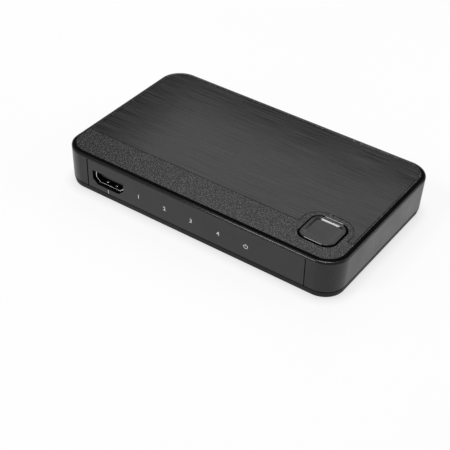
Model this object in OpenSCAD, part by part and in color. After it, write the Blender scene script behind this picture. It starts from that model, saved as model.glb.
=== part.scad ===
// Video switch box: four inputs, one output, a select button and an audio return.
// A lid, a ring of walls and a bottom cover close around one circuit board.
// Front is -Y, up is +Z, and the feet stand on Z = 0 around the origin.

/* [Case] */
// Thickness of the side walls
wall = 2.4; // [1.8:0.1:3]
// Radius of the upright corners at the top of the walls
corner_radius = 9.8; // [8.5:0.1:13]
// How far the walls lean in between the lid and the bottom cover
wall_lean = 0.5; // [0:0.1:1]
// From each end of the front and rear windows to the side of the case
panel_end = 13; // [12.5:0.5:20]
// Clearance between case parts that slot together
fit_gap = 0.15; // [0.05:0.05:0.25]
// Space between the tallest jack and the lid
head_room = 0.5; // [0.3:0.1:6]

/* [Lid] */
// Thickness of the lid's top plate
lid_thickness = 1.8; // [1.6:0.1:3]
// Width of the bevel around the top plate
lid_bevel = 2; // [1:0.1:3]
// Height that the bevel falls
bevel_drop = 0.55; // [0.3:0.05:0.7]
// Upright edge below the bevel
rim_height = 0.35; // [0.2:0.05:0.5]
// Thickness of the brushed inlay
inlay_thickness = 0.4; // [0.3:0.1:0.6]
// Lid border left around the inlay
inlay_border = 0.6; // [0.4:0.1:2]
// Clearance around the inlay, which shows as a fine line
inlay_gap = 0.15; // [0.05:0.01:0.2]
// Bare strip between the front of the plate and the inlay
strip_depth = 14.2; // [10:0.2:18]
// Bare ring between the button opening and the inlay
surround = 2.5; // [1.5:0.1:3.5]
// Corner radius of that ring
surround_radius = 8; // [6:0.5:9]
// Wall of the collar that guides the key under the lid
collar_wall = 1.2; // [0.8:0.1:1.4]
// Height of the guide collar
collar_height = 2.2; // [1.6:0.1:2.4]
// Diameter of the lid's screw posts
post_diameter = 5; // [4.6:0.1:5.4]

/* [Bottom cover] */
// Height of the bottom cover's side
base_height = 2.6; // [2.4:0.1:4]
// How far that side leans in on its way down
base_lean = 0.55; // [0:0.05:1]
// Thickness of the floor
floor_thickness = 1.6; // [1.4:0.1:2.2]
// Thickness of the locating ribs inside the walls
rib_thickness = 1.2; // [0.8:0.1:2]
// Height of the locating ribs above the seam
rib_height = 2; // [1:0.5:4]
// Length of the locating ribs
rib_length = 30; // [15:1:36]
// Diameter of a rubber foot
foot_diameter = 10; // [7:0.5:11]
// Thickness of a rubber foot
foot_thickness = 1.2; // [1:0.1:1.4]
// Height of a foot that stands below the floor
foot_proud = 0.6; // [0.4:0.1:0.9]
// From the middle of a foot to the nearest screw post, along and across
foot_step = [8, 5]; // [7:0.5:14]

/* [Panels] */
// Thickness of the front and rear panels
panel_thickness = 1.5; // [1.2:0.1:1.6]
// Panel face behind the foot of the walls
panel_recess = 0.3; // [0.2:0.1:0.4]
// Length of panel held in the groove at each end
panel_tongue = 1; // [0.6:0.1:1.4]
// Height of the wall rail above each panel
rail_height = 0.7; // [0.5:0.1:1.2]
// Gap around a jack in its panel cut-out
port_gap = 0.4; // [0.2:0.1:0.6]
// Distance between neighbouring cut-outs in the rear panel
jack_gap = 2.5; // [2:0.1:6]
// Plain panel left at each end of the rear row
row_margin = 1.2; // [0.8:0.1:10]
// From the left end of the front panel to the middle of the front socket
front_socket_inset = 10.6; // [9:0.2:14]
// Distance between neighbouring indicators
indicator_pitch = 12.85; // [10:0.05:13]
// Height of the indicators above the board
indicator_height = 2.8; // [2.4:0.1:4]

/* [Select button] */
// Width and depth of the key
key_size = 14.9; // [12:0.1:16]
// Corner radius of the key
key_radius = 3.9; // [3:0.1:5]
// Gap around the key in the lid
key_gap = 0.75; // [0.4:0.05:0.9]
// Height of the key's face above the lid
key_proud = 0.5; // [0.2:0.1:1]
// Width of the bevel around the key's face
key_bevel = 1.1; // [0.5:0.1:1.6]
// Height that the key's bevel falls
key_bevel_drop = 0.7; // [0.3:0.05:1]
// How far the key can be pressed
key_travel = 0.5; // [0.3:0.1:0.6]
// Running clearance of the key in its collar
slide_gap = 0.3; // [0.2:0.05:0.4]
// Wall of the hollow key
key_wall = 1.4; // [1:0.1:2]
// Length of the tabs that catch the key under its collar
tab_length = 6; // [4:0.5:7]
// Overlap of the tabs under the collar
tab_overlap = 0.8; // [0.5:0.1:1]
// Thickness of the tabs
tab_thickness = 1; // [0.8:0.1:1.2]
// Diameter of the key's stem
stem_diameter = 4.2; // [3.4:0.1:6]
// From the right side of the case to the middle of the key
button_inset_x = 15.5; // [15:0.1:18]
// From the front of the case to the middle of the key
button_inset_y = 16; // [14.5:0.1:22]

/* [Push switch] */
// Width and depth of the switch body
switch_size = 6; // [5:0.1:7]
// Height of the switch body
switch_height = 3.3; // [2.8:0.1:4]
// Thickness of its metal cover
switch_cover_thickness = 0.25; // [0.2:0.05:0.4]
// Diameter of its plunger
plunger_diameter = 3.4; // [3:0.1:4]
// Height of the plunger's tip above the board
plunger_height = 5; // [4.6:0.1:6]
// Width of the plunger's shoulder under the cover
plunger_shoulder = 0.5; // [0.3:0.1:0.6]
// Gap around the plunger
plunger_gap = 0.2; // [0.1:0.05:0.25]

/* [Video sockets] */
// Width of the socket's opening
socket_width = 14; // [13:0.1:16]
// Height of the opening
socket_height = 4.55; // [4.2:0.05:5.2]
// Width of the cut on each lower corner
socket_cut_width = 1.95; // [1.5:0.05:2.4]
// Height of that cut
socket_cut_height = 1.75; // [1.4:0.05:2]
// Thickness of the metal shell
shell_thickness = 0.3; // [0.2:0.05:0.4]
// Length of the shell
socket_depth = 11.9; // [10:0.1:14]
// How far the shell sits behind the panel's face
socket_recess = 1; // [0.4:0.1:1.3]
// Clearance of the insulator in its shell
insulator_gap = 0.05; // [0.02:0.01:0.1]
// Length of the insulator's block
insulator_depth = 3.2; // [2.4:0.1:4]
// Width of the contact tongue
tongue_width = 10.8; // [10.4:0.1:11.4]
// Thickness of the contact tongue
tongue_thickness = 1.2; // [1:0.05:1.5]
// Middle of the tongue above the opening's floor
tongue_lift = 2.5; // [2.2:0.05:2.8]
// From the shell's mouth to the tip of the tongue
tongue_setback = 1.4; // [1:0.1:2]
// Number of contacts in a socket
contact_count = 19; // [11:2:19]
// Distance between neighbouring contacts on one side of the tongue
contact_pitch = 1; // [0.8:0.05:1]
// Width of a contact
contact_width = 0.3; // [0.2:0.02:0.36]
// Thickness of a contact
contact_thickness = 0.15; // [0.1:0.01:0.2]

/* [Optical jack] */
// Width of the housing
optical_width = 9.8; // [9.4:0.1:11]
// Height of the housing
optical_height = 9.7; // [9.5:0.1:11]
// Length of the housing
optical_length = 13.5; // [13:0.1:15]
// Width of the opening
optical_opening = 6.6; // [6:0.1:6.8]
// Height of the opening
optical_opening_height = 6.4; // [6:0.1:6.4]
// Depth of the opening
optical_cavity = 8.6; // [8.4:0.1:9]
// Height of the opening's sill
optical_sill = 1.3; // [1:0.1:1.3]
// Thickness of the front edge that hides the hinge
optical_lip = 0.7; // [0.5:0.1:0.9]
// Thickness of the shutter
shutter_thickness = 0.8; // [0.6:0.1:0.9]
// Clearance around the shutter
shutter_gap = 0.2; // [0.15:0.05:0.3]
// Diameter of the shutter's hinge pins
shutter_pin = 1; // [0.8:0.1:1.1]
// Length of each hinge pin
shutter_pin_length = 0.8; // [0.5:0.1:1]
// Size of the emitter across, deep and high
emitter_size = [5.6, 3.7, 6.8]; // [3:0.1:7]
// Diameter of the emitter's lens
emitter_lens = 2.2; // [1.8:0.1:3]

/* [Audio and power jacks] */
// Width of the audio jack's body
audio_width = 6.8; // [6.4:0.1:7]
// Height of the audio jack's body
audio_height = 6.6; // [6.4:0.1:7.4]
// Length of the audio jack
audio_length = 12; // [11:0.1:14]
// Bore for the audio plug
audio_bore = 3.6; // [3.5:0.05:3.8]
// Diameter of the audio jack's collar
audio_collar = 6.4; // [5.6:0.1:6.4]
// Length of the collar
audio_collar_length = 2; // [1.6:0.1:3]
// Width of the power jack's body
power_width = 6.4; // [6.2:0.1:7]
// Height of the power jack's body
power_height = 6.2; // [5.8:0.1:7]
// Length of the power jack
power_length = 10; // [9:0.1:12]
// Bore for the power plug
power_bore = 3.7; // [3.6:0.05:3.8]
// Diameter of the power pin
power_pin = 1.3; // [1:0.05:1.5]
// Closed end of both jacks' bores
jack_end = 1.2; // [0.8:0.1:1.6]
// Jack faces behind the rear panel's face
jack_recess = 0.1; // [0:0.05:0.4]

/* [Circuit board] */
// Depth of the board
board_depth = 71; // [68:1:90]
// Gap between the board and the case
board_gap = 0.55; // [0.3:0.05:1]
// Thickness of the board
board_thickness = 1.6; // [1.2:0.1:2]
// Height of the bosses that carry the board
standoff = 2.6; // [2.4:0.1:4]
// Diameter of those bosses
boss_diameter = 5.5; // [4.6:0.1:7]
// From the end of the board to its screws
board_hole_inset = 4; // [3.5:0.1:6]
// Distance between the board screws across the board
board_hole_span = 22; // [16:1:26]
// Wire thickness of the soldered leads
lead = 0.5; // [0.4:0.05:0.6]
// Size of the switching chip across, deep and high
switch_chip_size = [14, 14, 0.9]; // [0.6:0.1:16]
// Size of the control chip
control_chip_size = [9, 6, 1.4]; // [0.6:0.1:10]
// Size of the audio chip
audio_chip_size = [6.5, 4.4, 1]; // [0.6:0.1:8]
// Size of the voltage regulator
regulator_size = [6.5, 3.5, 1.6]; // [0.6:0.1:8]
// Size of the power coil
inductor_size = [6, 6, 3]; // [1.5:0.1:7]
// Diameter of the capacitor cans
capacitor_diameter = 5; // [4:0.1:6]
// Height of the capacitors
capacitor_height = 5.8; // [4:0.1:6.2]
// Size of the crystal can
crystal_size = [10.2, 3.8, 3.4]; // [2:0.1:11]

/* [Screws] */
// Diameter of the case screws
case_screw = 2.6; // [2.2:0.1:3]
// Length of the case screws under the head
case_screw_length = 10; // [7:0.5:11]
// Diameter of their heads
case_head = 5; // [4.4:0.1:5.4]
// Height of their heads
case_head_height = 1.8; // [1.4:0.1:2.2]
// How deep their heads sit in the bottom cover
head_sink = 0.3; // [0.1:0.1:0.4]
// Plastic around the screw heads
head_wall = 1; // [0.6:0.1:1.2]
// Plastic clamped under a case screw's head
clamp = 1.6; // [1.2:0.1:2.4]
// Diameter of the board screws
board_screw = 2.2; // [2:0.1:2.6]
// Length of the board screws under the head
board_screw_length = 4.4; // [3.6:0.1:4.6]
// Diameter of the board screws' heads
board_head = 4.4; // [3.8:0.1:5]
// Height of the board screws' heads
board_head_height = 1.5; // [1.2:0.1:2]
// Clearance around the screws
screw_gap = 0.1; // [0.05:0.05:0.2]

/* [Hidden] */
$fn = 64;
// Reach of a cut past the face that it opens
cut = 1;
// Overlap that joins two shapes of one piece
join = 0.2;
// Thin slice at the end of a sloping shape
slice = 0.01;

// Heights, from the surface that the feet stand on
base_z = foot_proud;
floor_top = base_z + floor_thickness;
seam_z = base_z + base_height;
board_z = floor_top + standoff;
board_top = board_z + board_thickness;
tallest_jack = max(optical_height, audio_height, power_height);
lid_under = board_top + tallest_jack + head_room;
plate_top = lid_under + lid_thickness;
lid_seam = plate_top - bevel_drop - rim_height;
window_top = lid_seam - rail_height;

// Rear row, listed along +X: inputs 4, 3 and 2, the output, then the optical, audio and power jacks
socket_outer = socket_width + 2 * shell_thickness;
row_widths = [for (w = [socket_outer, socket_outer, socket_outer, socket_outer,
                        optical_width, audio_collar, power_width]) w + 2 * port_gap];
function total(list, count) = count == 0 ? 0 : list[count - 1] + total(list, count - 1);
row_length = total(row_widths, len(row_widths)) + (len(row_widths) - 1) * jack_gap;
function row_x(i) = -row_length / 2 + total(row_widths, i) + i * jack_gap + row_widths[i] / 2;
optical_x = row_x(4);
audio_x = row_x(5);
power_x = row_x(6);

// Plan of the case
panel_length = row_length + 2 * row_margin;
case_length = panel_length + 2 * panel_end;
case_depth = board_depth + 2 * (board_gap + wall + wall_lean);
inner_length = case_length - 2 * (wall + wall_lean);
inner_depth = case_depth - 2 * (wall + wall_lean);
inner_radius = corner_radius - wall - wall_lean;
panel_face = case_depth / 2 - wall_lean - panel_recess;
panel_back = panel_face - panel_thickness;
plate_length = case_length - 2 * lid_bevel;
plate_depth = case_depth - 2 * lid_bevel;
plate_radius = corner_radius - lid_bevel;

// Screw posts sit in the rounded inner corners, and the board fits between them
post_radius = post_diameter / 2;
post_reach = post_radius + (inner_radius - post_radius) * (1 - sqrt(0.5)) + fit_gap;
post_x = inner_length / 2 - post_reach;
post_y = inner_depth / 2 - post_reach;
screw_seat = base_z + head_sink + case_head_height;
post_foot = screw_seat + clamp;
board_length = 2 * (post_x - post_radius - board_gap);
board_hole_x = board_length / 2 - board_hole_inset;
board_hole_y = board_hole_span / 2;

// Button, its opening and its switch
button_x = case_length / 2 - button_inset_x;
button_y = button_inset_y - case_depth / 2;
hole_size = key_size + 2 * key_gap;
hole_radius = key_radius + key_gap;
collar_z = lid_under - collar_height;
key_foot = collar_z - slide_gap - tab_thickness;
key_top = plate_top + key_proud;
plunger_tip = board_top + plunger_height;
stem_end = plunger_tip + slide_gap / 3;

// Optical jack, measured from its mouth and from the board
hinge_y = optical_lip + shutter_gap + shutter_thickness / 2;
hinge_z = optical_sill + optical_opening_height + shutter_thickness / 2 + shutter_gap / 2;
pocket_top = hinge_z + shutter_thickness / 2 + shutter_gap;
shutter_width = optical_opening - 2 * shutter_gap;
optical_axis = optical_sill + optical_opening_height / 2;
emitter_y = optical_length - shutter_gap - emitter_size.y;
emitter_z = optical_axis - emitter_size.z / 2;

// Middle of a rounded rectangle's corners, one sign pair for each
corners = [for (x = [-1, 1], y = [-1, 1]) [x, y]];

module rounded(length, depth, radius) {
    square([length, depth - 2 * radius], center = true);
    square([length - 2 * radius, depth], center = true);
    for (c = corners)
        translate([c.x * (length / 2 - radius), c.y * (depth / 2 - radius)]) circle(radius);
}

// Rounded slab whose side leans in by inset between z0 and z1, after an upright edge at z0
module leaning(length, depth, radius, z0, edge, z1, inset) {
    hull() {
        translate([0, 0, z0]) linear_extrude(edge) rounded(length, depth, radius);
        translate([0, 0, z1 > z0 ? z1 - slice : z1]) linear_extrude(slice)
            rounded(length - 2 * inset, depth - 2 * inset, radius - inset);
    }
}

// Block of a given size, centred on X and Y and standing on Z = 0
module block(size) translate([-size.x / 2, -size.y / 2, 0]) cube(size);

// Outline drawn in X and Z, carried back from Y = 0
module along_y(depth) translate([0, depth, 0]) rotate([90, 0, 0]) linear_extrude(depth) children();

// Round bar along +Y from Y = 0
module bar_y(diameter, length) rotate([-90, 0, 0]) cylinder(d = diameter, h = length);

module at_posts() for (c = corners) translate([c.x * post_x, c.y * post_y, 0]) children();
module at_board_holes() for (c = corners)
    translate([c.x * board_hole_x, c.y * board_hole_y, 0]) children();
module at_feet() for (c = corners)
    translate([c.x * (post_x - foot_step.x), c.y * (post_y - foot_step.y), 0]) children();

// Jack places: each jack's mouth is at Y = 0 of its own frame, on the board, and it runs back along +Y
module at_rear(x, recess) translate([x, panel_face - recess, board_top]) rotate(180) children();
socket_rows = [undef, 2, 1, 0, 3];
module at_socket(i, recess = socket_recess) {
    if (i == 0)
        translate([front_socket_inset - panel_length / 2, recess - panel_face, board_top]) children();
    else
        at_rear(row_x(socket_rows[i]), recess) children();
}
module at_indicators() for (i = [-2:2])
    translate([i * indicator_pitch, fit_gap * 2 - panel_back, board_top]) children();

// Inlay: the top plate less its border, the front strip and the ring around the button
module inlay_outline(grow) {
    difference() {
        rounded(plate_length - 2 * (inlay_border - grow), plate_depth - 2 * (inlay_border - grow),
                plate_radius - inlay_border + grow);
        translate([-case_length / 2, -case_depth / 2])
            square([case_length, lid_bevel + strip_depth - grow]);
        translate([button_x, button_y])
            rounded(hole_size + 2 * (surround - grow), hole_size + 2 * (surround - grow),
                    surround_radius - grow);
    }
}

module top_cover() color("#38383a") {
    difference() {
        union() {
            leaning(case_length, case_depth, corner_radius, lid_seam, rim_height, plate_top, lid_bevel);
            translate([0, 0, lid_under]) linear_extrude(lid_seam - lid_under + join)
                rounded(inner_length - 2 * fit_gap, inner_depth - 2 * fit_gap, inner_radius - fit_gap);
            at_posts() translate([0, 0, post_foot])
                cylinder(d = post_diameter, h = lid_under - post_foot + join);
            translate([button_x, button_y, collar_z])
                linear_extrude(collar_height + join) key_outline(slide_gap + collar_wall);
        }
        translate([0, 0, plate_top - inlay_thickness]) linear_extrude(inlay_thickness + cut)
            inlay_outline(inlay_gap);
        translate([button_x, button_y, lid_under])
            linear_extrude(lid_thickness + cut) key_outline(key_gap);
        translate([button_x, button_y, collar_z - cut])
            linear_extrude(collar_height + 2 * cut) key_outline(slide_gap);
        at_posts() translate([0, 0, post_foot - cut])
            cylinder(d = case_screw + screw_gap, h = case_screw_length - clamp + 2 * cut);
    }
}

module key_outline(grow) rounded(key_size + 2 * grow, key_size + 2 * grow, key_radius + grow);

module top_inlay() color("#454547")
    translate([0, 0, plate_top - inlay_thickness]) linear_extrude(inlay_thickness) inlay_outline(0);

module wall_frame() color("#3c3c3e") {
    groove_length = panel_length + 2 * panel_tongue;
    groove_depth = panel_thickness + 2 * fit_gap;
    height = window_top - seam_z + cut;
    difference() {
        leaning(case_length, case_depth, corner_radius, lid_seam - slice, slice, seam_z, wall_lean);
        translate([0, 0, seam_z - cut]) linear_extrude(lid_seam - seam_z + 2 * cut)
            rounded(inner_length, inner_depth, inner_radius);
        for (turn = [0, 180]) rotate(turn) {
            translate([-panel_length / 2, -case_depth / 2 - cut, seam_z - cut])
                cube([panel_length, wall + wall_lean + 2 * cut, height]);
            translate([-groove_length / 2, -panel_face - fit_gap, seam_z - cut])
                cube([groove_length, groove_depth, height]);
        }
    }
}

module bottom_cover() color("#333335") {
    rib_x = inner_length / 2 - fit_gap - rib_thickness;
    pilot = board_screw_length - board_thickness + cut / 2;
    difference() {
        union() {
            difference() {
                leaning(case_length - 2 * wall_lean, case_depth - 2 * wall_lean, corner_radius - wall_lean,
                        seam_z - slice, slice, base_z, base_lean);
                translate([0, 0, floor_top]) linear_extrude(base_height)
                    rounded(inner_length, inner_depth, inner_radius);
            }
            at_posts() {
                translate([0, 0, base_z + join]) cylinder(d = post_diameter, h = post_foot - base_z - join);
                translate([0, 0, base_z + join])
                    cylinder(d = case_head + 2 * head_wall, h = seam_z - base_z - join);
            }
            at_board_holes() translate([0, 0, floor_top - join])
                cylinder(d = boss_diameter, h = standoff + join);
            for (side = [0, 180]) rotate(side)
                translate([rib_x, -rib_length / 2, floor_top - join])
                    cube([rib_thickness, rib_length, seam_z - floor_top + join + rib_height]);
        }
        at_posts() {
            translate([0, 0, base_z - cut])
                cylinder(d = case_screw + 4 * screw_gap, h = post_foot - base_z + 2 * cut);
            translate([0, 0, base_z - cut])
                cylinder(d = case_head + 4 * screw_gap, h = screw_seat - base_z + cut);
        }
        at_board_holes() translate([0, 0, board_z - pilot])
            cylinder(d = board_screw + screw_gap, h = pilot + cut);
        at_feet() translate([0, 0, base_z - cut])
            cylinder(d = foot_diameter + 2 * fit_gap, h = cut + foot_thickness - foot_proud);
    }
}

module panel_plate() {
    length = panel_length + 2 * (panel_tongue - fit_gap);
    translate([-length / 2, -panel_face, seam_z + fit_gap])
        cube([length, panel_thickness, window_top - seam_z - 2 * fit_gap]);
}

module socket_cutout(i) at_socket(i, -cut) along_y(panel_thickness + 2 * cut)
    socket_profile(shell_thickness + port_gap);

module front_panel() color("#1c1c1e") {
    difference() {
        panel_plate();
        socket_cutout(0);
    }
}

module rear_panel() color("#2c2c2e") {
    reach = panel_thickness + 2 * cut;
    difference() {
        rotate(180) panel_plate();
        for (i = [1:4]) socket_cutout(i);
        at_rear(optical_x, -cut) translate([0, reach / 2, -port_gap])
            block([optical_width + 2 * port_gap, reach, optical_height + 2 * port_gap]);
        at_rear(audio_x, -cut) translate([0, 0, audio_height / 2])
            bar_y(audio_collar + 2 * port_gap, reach);
        at_rear(power_x, -cut) translate([0, reach / 2, -port_gap])
            block([power_width + 2 * port_gap, reach, power_height + 2 * port_gap]);
    }
}

module rubber_feet() color("#202022") at_feet() cylinder(d = foot_diameter, h = foot_thickness);

// Cross-head screw with its head's underside at Z = 0, the head above and the shank below
module screw(diameter, length, head, head_height) {
    recess = [head * 0.6, head * 0.16, head_height * 0.6];
    difference() {
        union() {
            cylinder(d = head, h = head_height);
            translate([0, 0, -length]) cylinder(d = diameter, h = length + join);
        }
        for (turn = [0, 90]) rotate(turn) translate([0, 0, head_height - recess.z + slice])
            block(recess);
    }
}

module case_screws() color("#8c8c90") at_posts() translate([0, 0, screw_seat]) rotate([180, 0, 0])
    screw(case_screw, case_screw_length, case_head, case_head_height);

module board_screws() color("#8c8c90") at_board_holes() translate([0, 0, board_top])
    screw(board_screw, board_screw_length, board_head, board_head_height);

module circuit_board() color("#14532d") {
    translate([0, 0, board_z]) linear_extrude(board_thickness) difference() {
        square([board_length, board_depth], center = true);
        for (c = corners) translate([c.x * board_hole_x, c.y * board_hole_y])
            circle(d = board_screw + 4 * screw_gap);
    }
}

module select_button() color("#3a3a3c") translate([button_x, button_y, 0]) {
    tab_reach = key_size / 2 + slide_gap + tab_overlap;
    roof = key_top - key_bevel_drop - key_wall;
    difference() {
        leaning(key_size, key_size, key_radius, key_foot, key_top - key_bevel_drop - key_foot,
                key_top, key_bevel);
        translate([0, 0, key_foot - cut]) linear_extrude(roof - key_foot + cut) key_outline(-key_wall);
    }
    for (turn = [0:90:270]) rotate(turn)
        translate([key_size / 2 - key_wall / 2, -tab_length / 2, key_foot])
            cube([tab_reach - key_size / 2 + key_wall / 2, tab_length, tab_thickness]);
    translate([0, 0, stem_end]) cylinder(d = stem_diameter, h = roof - stem_end + join);
}

// Push switch: the plunger's shoulder is caught under the metal cover
shoulder_diameter = plunger_diameter + 2 * (plunger_shoulder + plunger_gap);
shoulder_top = switch_height - plunger_gap;
shoulder_bottom = shoulder_top - 2 * plunger_shoulder;
cavity_floor = shoulder_bottom - key_travel - plunger_gap;

module switch_body() color("#1e1e20") translate([button_x, button_y, board_top]) {
    difference() {
        block([switch_size, switch_size, switch_height]);
        translate([0, 0, cavity_floor])
            cylinder(d = shoulder_diameter + 2 * plunger_gap, h = switch_height);
    }
}

module switch_cover() color("#b9babd") translate([button_x, button_y, board_top + switch_height]) {
    difference() {
        block([switch_size, switch_size, switch_cover_thickness]);
        translate([0, 0, -cut]) cylinder(d = plunger_diameter + 2 * plunger_gap, h = 3 * cut);
    }
}

module switch_plunger() color("#232325") translate([button_x, button_y, board_top]) {
    translate([0, 0, shoulder_bottom]) {
        cylinder(d = shoulder_diameter, h = shoulder_top - shoulder_bottom);
        cylinder(d = plunger_diameter, h = plunger_height - shoulder_bottom);
    }
}

// Opening of a video socket, grown by its wall or its cut-out gap: flat top, two cut lower corners
module socket_profile(grow) {
    slope = atan2(socket_cut_height, socket_cut_width);
    half = socket_width / 2 + grow;
    top = shell_thickness + socket_height + grow;
    side_end = shell_thickness + socket_cut_height - grow * tan((90 - slope) / 2);
    flat = socket_width / 2 - socket_cut_width + grow * tan(slope / 2);
    bottom = shell_thickness - grow;
    polygon([[-half, top], [half, top], [half, side_end],
             [flat, bottom], [-flat, bottom], [-half, side_end]]);
}

module video_shell(i) color("#c4c5c8") at_socket(i) {
    difference() {
        along_y(socket_depth) socket_profile(shell_thickness);
        translate([0, -cut, 0]) along_y(socket_depth + 2 * cut) socket_profile(0);
    }
}

tongue_z = shell_thickness + tongue_lift - tongue_thickness / 2;
block_y = socket_depth - insulator_depth;

// One row of contacts lies flush in each face of the tongue, and their tails reach the board
module contact_rows(grow) {
    upper_count = ceil(contact_count / 2);
    rows = [[upper_count, tongue_z + tongue_thickness - contact_thickness],
            [contact_count - upper_count, tongue_z]];
    width = contact_width + 2 * grow;
    start = tongue_setback + 2 * contact_width;
    tail = socket_depth + contact_thickness / 2;
    for (row = rows, k = [0:row[0] - 1])
        translate([(k - (row[0] - 1) / 2) * contact_pitch - width / 2, 0, 0]) {
            translate([0, start, row[1] - grow])
                cube([width, tail + contact_thickness - start, contact_thickness + 2 * grow]);
            translate([0, tail, 0]) cube([width, contact_thickness, row[1] + contact_thickness]);
            translate([0, tail, 0]) cube([width, 4 * contact_width, contact_thickness]);
        }
}

module video_insulator(i) color("#19191b") at_socket(i) {
    difference() {
        union() {
            translate([0, block_y, 0]) along_y(insulator_depth) socket_profile(-insulator_gap);
            translate([-tongue_width / 2, tongue_setback, tongue_z])
                cube([tongue_width, block_y - tongue_setback + join, tongue_thickness]);
        }
        contact_rows(contact_thickness / 10);
    }
}

module video_contacts(i) color("#c9a24b") at_socket(i) contact_rows(0);

module optical_housing() color("#202022") at_rear(optical_x, jack_recess) {
    cavity_z = optical_sill;
    difference() {
        translate([0, optical_length / 2, 0]) block([optical_width, optical_length, optical_height]);
        translate([-optical_opening / 2, -cut, cavity_z])
            cube([optical_opening, optical_cavity + cut, optical_opening_height]);
        translate([-optical_opening / 2, optical_lip, cavity_z])
            cube([optical_opening, optical_cavity - optical_lip, pocket_top - cavity_z]);
        translate([-emitter_size.x / 2 - fit_gap, emitter_y - fit_gap, emitter_z - fit_gap])
            cube([emitter_size.x + 2 * fit_gap, optical_length, emitter_size.z + 2 * fit_gap]);
        translate([0, optical_cavity - cut, optical_axis])
            bar_y(emitter_lens + 2 * fit_gap, emitter_y - optical_cavity + cut);
        translate([0, hinge_y, hinge_z]) rotate([0, 90, 0])
            cylinder(d = shutter_pin + shutter_gap, center = true,
                     h = optical_opening + 2 * shutter_pin_length);
    }
}

module optical_shutter() color("#2a2a2c")
    at_rear(optical_x, jack_recess) translate([0, hinge_y, hinge_z]) {
    drop = hinge_z - optical_sill - shutter_gap;
    translate([-shutter_width / 2, -shutter_thickness / 2, -drop])
        cube([shutter_width, shutter_thickness, drop]);
    rotate([0, 90, 0]) cylinder(d = shutter_thickness, h = shutter_width, center = true);
    rotate([0, 90, 0]) cylinder(d = shutter_pin, center = true,
                                h = shutter_width + 2 * shutter_pin_length);
}

module optical_emitter() color("#3a3034") at_rear(optical_x, jack_recess) {
    lead_pitch = emitter_size.x / 4;
    back = emitter_y + emitter_size.y;
    translate([-emitter_size.x / 2, emitter_y, emitter_z]) cube(emitter_size);
    translate([0, optical_cavity + fit_gap, optical_axis])
        bar_y(emitter_lens, emitter_y - optical_cavity - fit_gap + join);
    for (k = [-1:1]) translate([k * lead_pitch - lead / 2, back - join, 0])
        lead_down(join + 2 * shutter_gap + lead, emitter_z + emitter_size.z / 4);
}

// Soldered lead: out along +Y by reach at height z, then down to the board
module lead_down(reach, z) {
    translate([0, 0, z - lead]) cube([lead, reach, lead]);
    translate([0, reach - lead, 0]) cube([lead, lead, z]);
}

// Leaf contact in a slot beside a jack's bore, with a leg down the outside of the body
leaf_thickness = 0.3;
leaf_height = 1.4;
leaf_length = 2.6;
leaf_gap = 0.1;
module leaf_slot(bore, width, axis, y) {
    translate([bore / 2 + leaf_gap, y - leaf_gap, axis - leaf_height / 2 - leaf_gap])
        cube([width, leaf_length + 2 * leaf_gap, leaf_height + 2 * leaf_gap]);
}
module leaf_contact(bore, width, axis, y) {
    inside = bore / 2 + 2 * leaf_gap;
    outside = width / 2 + leaf_gap;
    translate([inside, y, axis - leaf_height / 2]) cube([leaf_thickness, leaf_length, leaf_height]);
    translate([inside, y, axis - lead / 2]) cube([outside + leaf_thickness - inside, lead, lead]);
    translate([outside, y, 0]) cube([leaf_thickness, lead, axis + lead / 2]);
}

audio_axis = audio_height / 2;
audio_leaf_places = [for (side = [0, 1], k = [0, 1])
    [side, audio_collar_length + 1 + k * (leaf_length + 1)]];

module audio_jack_body() color("#1b1b1d") at_rear(audio_x, jack_recess) {
    body_length = audio_length - audio_collar_length;
    difference() {
        union() {
            translate([0, audio_collar_length + body_length / 2, 0])
                block([audio_width, body_length, audio_height]);
            translate([0, 0, audio_axis]) bar_y(audio_collar, audio_collar_length + join);
        }
        translate([0, -cut, audio_axis]) bar_y(audio_bore, audio_length - jack_end + cut);
        for (p = audio_leaf_places) mirror([p[0], 0, 0])
            leaf_slot(audio_bore, audio_width, audio_axis, p[1]);
    }
}

module audio_jack_contacts() color("#b8b9bb") at_rear(audio_x, jack_recess)
    for (p = audio_leaf_places) mirror([p[0], 0, 0])
        leaf_contact(audio_bore, audio_width, audio_axis, p[1]);

power_axis = power_height / 2;
power_leaf_y = power_length / 2;

module power_jack_body() color("#1b1b1d") at_rear(power_x, jack_recess) {
    difference() {
        translate([0, power_length / 2, 0]) block([power_width, power_length, power_height]);
        translate([0, -cut, power_axis]) bar_y(power_bore, power_length - jack_end + cut);
        translate([0, 0, power_axis]) bar_y(power_pin + screw_gap, power_length + cut);
        leaf_slot(power_bore, power_width, power_axis, power_leaf_y);
    }
}

module power_jack_pin() color("#c8c9cb") at_rear(power_x, jack_recess) {
    tip = jack_end;
    translate([0, tip, power_axis]) bar_y(power_pin, power_length + leaf_gap - tip);
    translate([-lead, power_length + leaf_gap, 0]) cube([2 * lead, lead, power_axis + lead]);
}

module power_jack_spring() color("#c8c9cb") at_rear(power_x, jack_recess)
    leaf_contact(power_bore, power_width, power_axis, power_leaf_y);

// Indicators: round lamps in upright holders along the front edge of the board
led_diameter = 3;
led_flange = 3.8;
led_flange_length = 0.9;
led_setback = 0.3;
holder_depth = 5.5;
holder_wall = 0.5;
led_flange_y = holder_depth - led_flange_length - holder_wall / 2;
holder_width = led_flange + 2 * fit_gap + 2 * holder_wall;

module led_holders() color("#18181a") at_indicators() {
    difference() {
        translate([0, holder_depth / 2, 0])
            block([holder_width, holder_depth, indicator_height + holder_width / 2]);
        translate([0, -cut, indicator_height]) bar_y(led_diameter + 2 * fit_gap, holder_depth + 2 * cut);
        translate([0, led_flange_y - fit_gap / 2, indicator_height])
            bar_y(led_flange + 2 * fit_gap, holder_depth);
    }
}

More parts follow.
